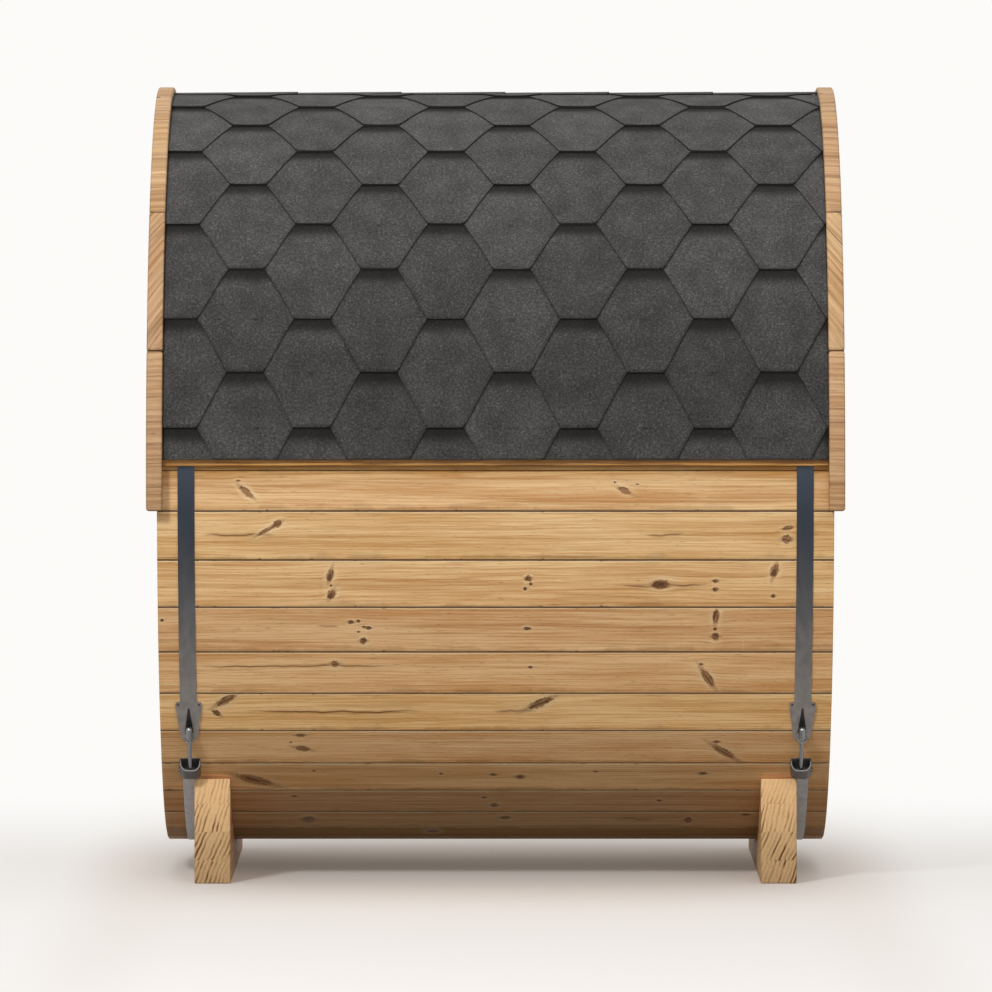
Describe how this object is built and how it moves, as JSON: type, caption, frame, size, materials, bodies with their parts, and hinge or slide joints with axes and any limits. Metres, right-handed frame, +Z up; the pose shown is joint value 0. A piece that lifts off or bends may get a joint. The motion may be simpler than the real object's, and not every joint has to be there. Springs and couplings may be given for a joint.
{
  "type": "barrel sauna",
  "caption": "Coopered timber barrel sauna on two cradles, with steel tension hoops, recessed end walls, a plank door and a curved hexagonal shingle roof.",
  "frame": {"origin": "on the ground under the middle of the barrel, level with the undersides of the cradles", "axes": "+X along the barrel towards its door end, +Z up, +Y to the right as seen from the door"},
  "size_m": [1.744, 2.0004, 2.0223],
  "materials": {
    "spruce_boards": "planed spruce, clear and unpainted",
    "glued_timber": "sawn glued timber block",
    "plywood": "bent plywood",
    "bitumen_shingle": "bitumen felt with charcoal mineral granules",
    "hoop_steel": "dark grey satin coat on steel",
    "polished_steel": "bright zinc-plated steel"
  },
  "bodies": {
    "root": {"top_staves": "spruce_boards", "upper_left_staves": "spruce_boards", "left_staves": "spruce_boards", "lower_left_staves": "spruce_boards", "floor_staves": "spruce_boards", "lower_right_staves": "spruce_boards", "right_staves": "spruce_boards", "upper_right_staves": "spruce_boards", "front_wall_left": "spruce_boards", "front_wall_right": "spruce_boards", "front_wall_head": "spruce_boards", "front_wall_sill": "spruce_boards", "rear_wall": "spruce_boards", "door_frame": "spruce_boards", "door_leaf": "spruce_boards", "door_handle": "spruce_boards", "door_hinges": "hoop_steel", "eaves_batten_left": "spruce_boards", "eaves_batten_right": "spruce_boards", "roof_battens": "spruce_boards", "roof_deck_left": "plywood", "roof_deck_right": "plywood", "shingles_left": "bitumen_shingle", "shingles_right": "bitumen_shingle", "ridge_cap": "bitumen_shingle", "front_arch_left": "spruce_boards", "front_arch_right": "spruce_boards", "front_upper_strap": "hoop_steel", "front_lower_strap": "hoop_steel", "front_cradle": "glued_timber", "rear_arch_left": "spruce_boards", "rear_arch_right": "spruce_boards", "rear_upper_strap": "hoop_steel", "rear_lower_strap": "hoop_steel", "rear_cradle": "glued_timber", "front_left_tension_rod": "polished_steel", "front_left_strap_bracket": "hoop_steel", "front_right_tension_rod": "polished_steel", "front_right_strap_bracket": "hoop_steel", "rear_left_tension_rod": "polished_steel", "rear_left_strap_bracket": "hoop_steel", "rear_right_tension_rod": "polished_steel", "rear_right_strap_bracket": "hoop_steel"}
  },
  "joints": []
}
